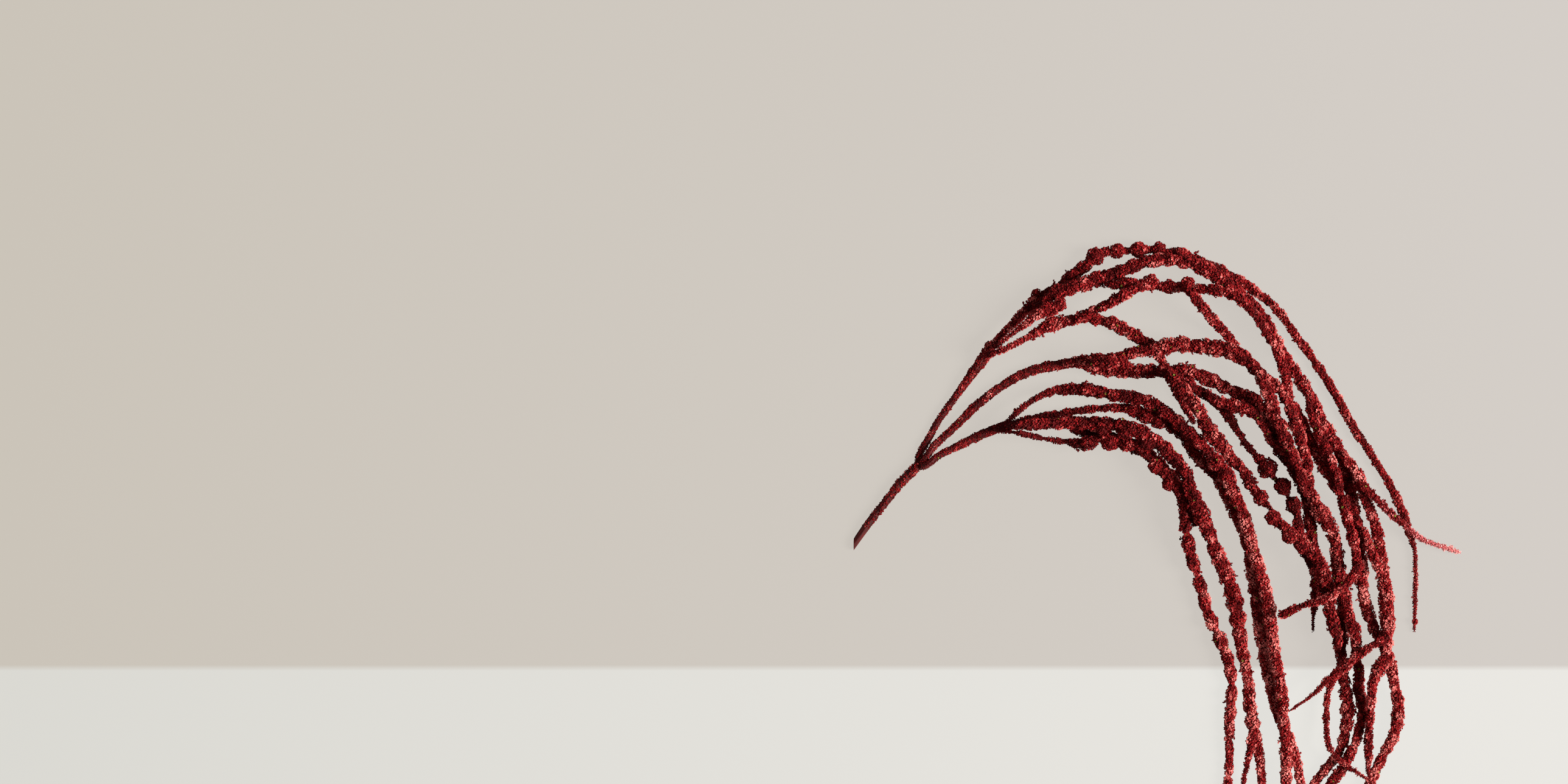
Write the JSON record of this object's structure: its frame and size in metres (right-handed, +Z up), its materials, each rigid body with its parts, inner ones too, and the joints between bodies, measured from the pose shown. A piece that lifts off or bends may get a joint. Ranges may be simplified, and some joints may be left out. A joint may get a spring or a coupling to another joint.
{
  "type": "cut hanging amaranth stem",
  "caption": "Cut stem of love-lies-bleeding amaranth laid flat, forking into arching branches with long crumbly crimson flower tassels.",
  "frame": {"origin": "middle of the whole spray in plan, on the surface that it lies on", "axes": "+X from the cut stem towards the outermost tassel, +Y from the tassel tips up to the crest of the arch, +Z up from the surface"},
  "size_m": [0.335, 0.4016, 0.0253],
  "materials": {
    "bark": "dull dark red-brown stem bark",
    "crimson_flowers": "matte papery crimson florets",
    "wine_flowers": "matte papery wine-red florets",
    "salmon_flowers": "matte papery salmon-pink florets"
  },
  "bodies": {
    "root": {"main_stem": "bark", "upper_branch": "bark", "middle_branch": "bark", "lower_branch": "bark", "crest_tassel": "crimson_flowers", "inner_crest_tassel": "crimson_flowers", "beaded_crest_tassel": "crimson_flowers", "crest_shaded_tassel": "crimson_flowers", "crest_thin_tassel": "crimson_flowers", "crest_underside_tassel": "crimson_flowers", "crest_short_spike": "crimson_flowers", "crossing_spike": "crimson_flowers", "middle_inner_tassel": "wine_flowers", "middle_outer_tassel": "wine_flowers", "middle_side_tassel": "wine_flowers", "middle_short_spike": "wine_flowers", "middle_beaded_tassel": "wine_flowers", "middle_under_tassel": "wine_flowers", "middle_cluster_tassel": "wine_flowers", "lower_second_tassel": "crimson_flowers", "lower_outer_tassel": "crimson_flowers", "lower_short_tassel": "crimson_flowers", "lower_inner_tassel": "crimson_flowers", "lower_third_tassel": "crimson_flowers", "lower_third_spike": "crimson_flowers", "right_tassel": "crimson_flowers", "right_short_tassel": "crimson_flowers", "knotted_tassel": "crimson_flowers", "side_tassel": "crimson_flowers", "loop_tassel": "crimson_flowers", "left_spike": "crimson_flowers", "diagonal_spike": "crimson_flowers", "pink_spike": "salmon_flowers"}
  },
  "joints": []
}
